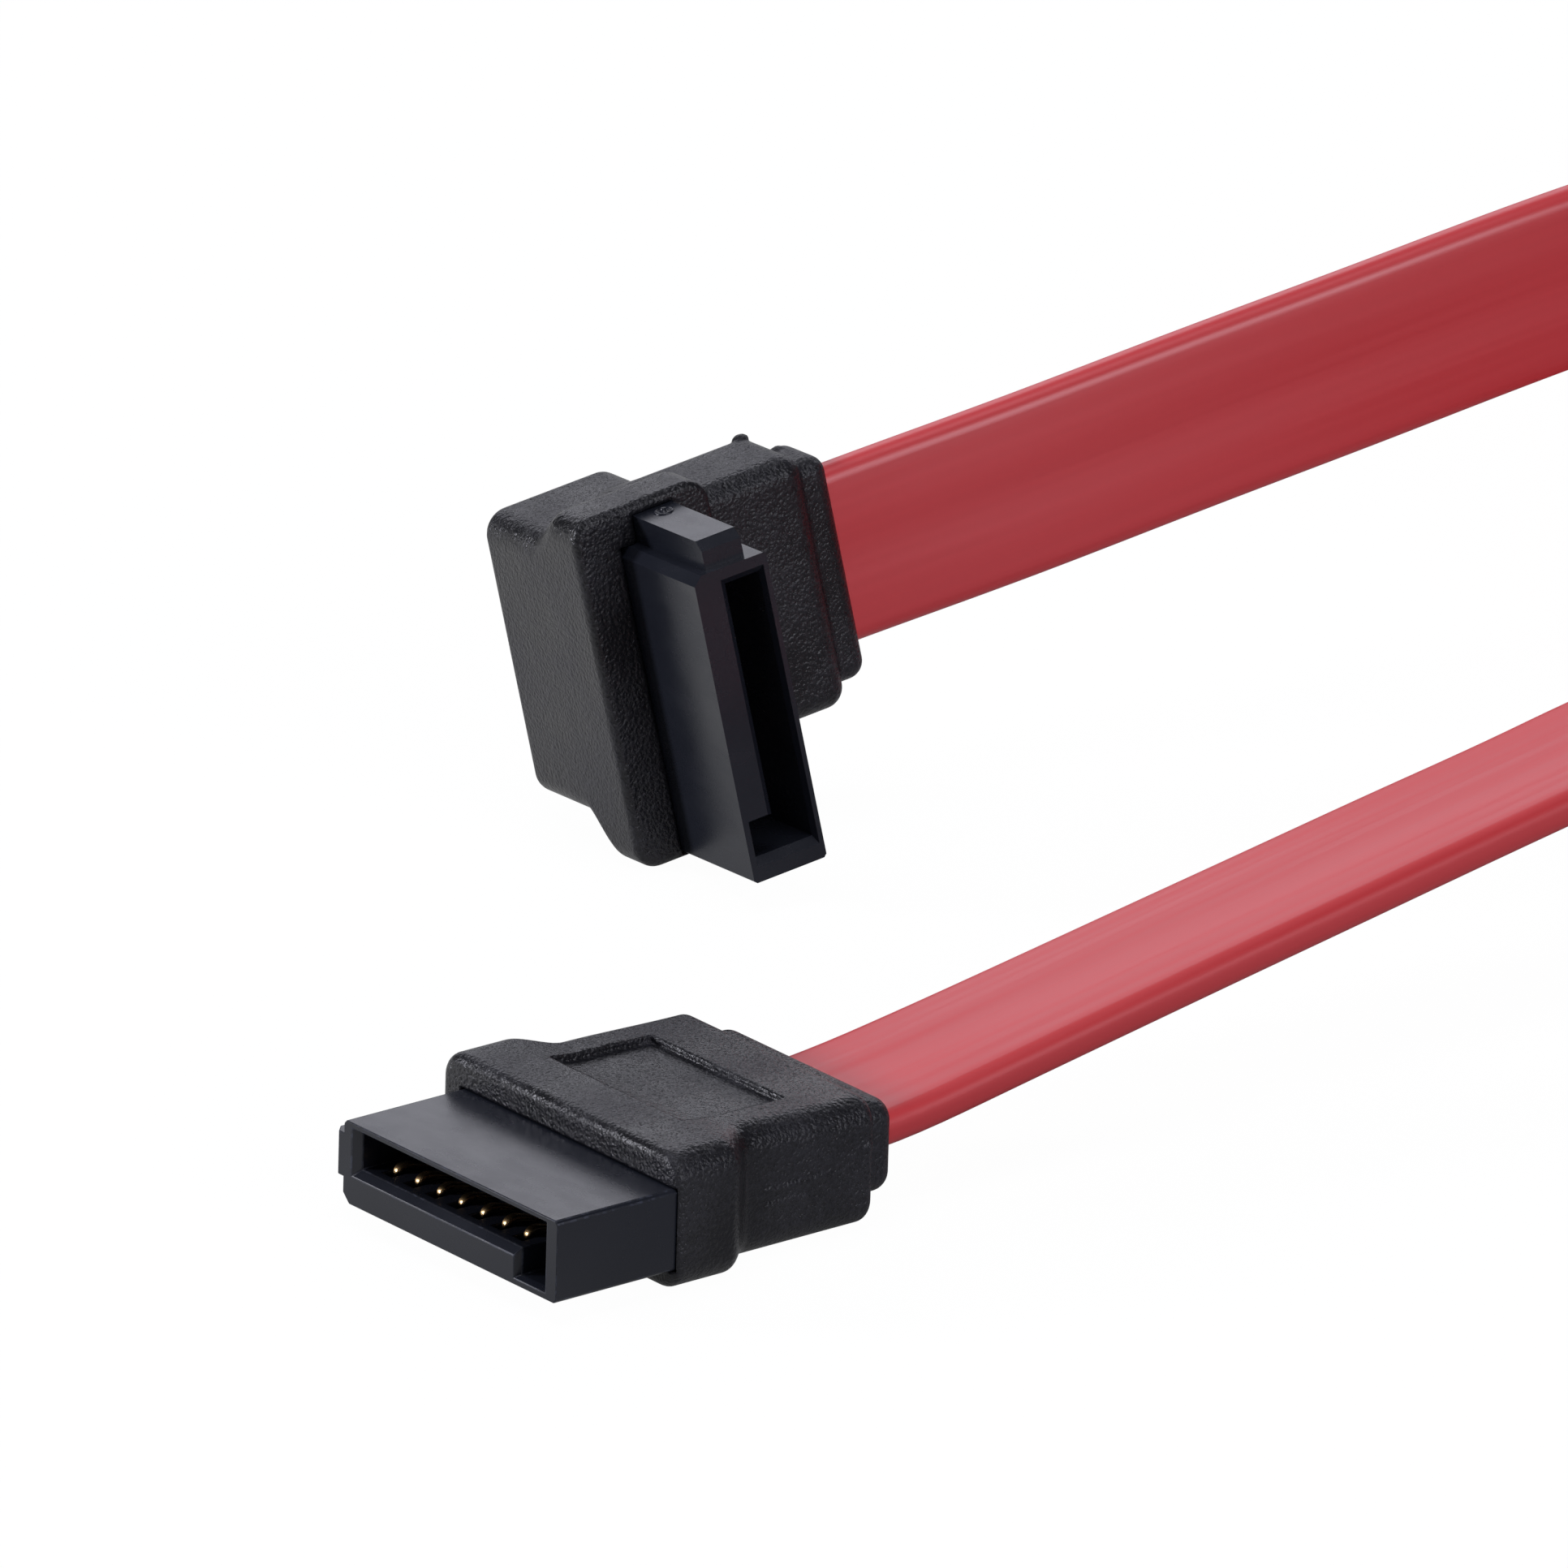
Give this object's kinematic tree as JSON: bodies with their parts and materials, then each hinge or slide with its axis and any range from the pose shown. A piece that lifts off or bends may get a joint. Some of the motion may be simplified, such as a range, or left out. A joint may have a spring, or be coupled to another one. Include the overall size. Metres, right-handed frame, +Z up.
{
  "type": "sata data cable",
  "caption": "Flat red data cable for a disk drive, with a straight moulded plug at one end, a right-angle plug at the other, and the spare length in a tied coil.",
  "frame": {"origin": "on the underside of the straight plug's grip, midway across the plug body and 5 mm behind the grip's front", "axes": "+Z up, -X out of the straight plug's mouth, +X along the ribbon towards the coil"},
  "size_m": [0.1523, 0.0758, 0.0204],
  "materials": {
    "plug_body": "smooth moulded black plastic with a bluish satin sheen",
    "grip": "soft black moulding with a fine leather grain",
    "inner_block": "plain pale moulding, hidden inside the grip",
    "contact": "thin gold plating",
    "ribbon": "soft red jacket, satin, with faint lengthwise streaks",
    "tie": "thin black tie"
  },
  "bodies": {
    "root": {"straight_body": "plug_body", "straight_contact_1": "contact", "straight_contact_2": "contact", "straight_contact_3": "contact", "straight_contact_4": "contact", "straight_contact_5": "contact", "straight_contact_6": "contact", "straight_contact_7": "contact", "straight_inner_block": "inner_block", "straight_grip": "grip", "right_angle_body": "plug_body", "right_angle_contact_1": "contact", "right_angle_contact_2": "contact", "right_angle_contact_3": "contact", "right_angle_contact_4": "contact", "right_angle_contact_5": "contact", "right_angle_contact_6": "contact", "right_angle_contact_7": "contact", "right_angle_inner_block": "inner_block", "right_angle_grip": "grip", "ribbon_to_right_angle": "ribbon", "ribbon_to_straight": "ribbon", "ribbon_coil": "ribbon", "coil_tie": "tie"}
  },
  "joints": []
}
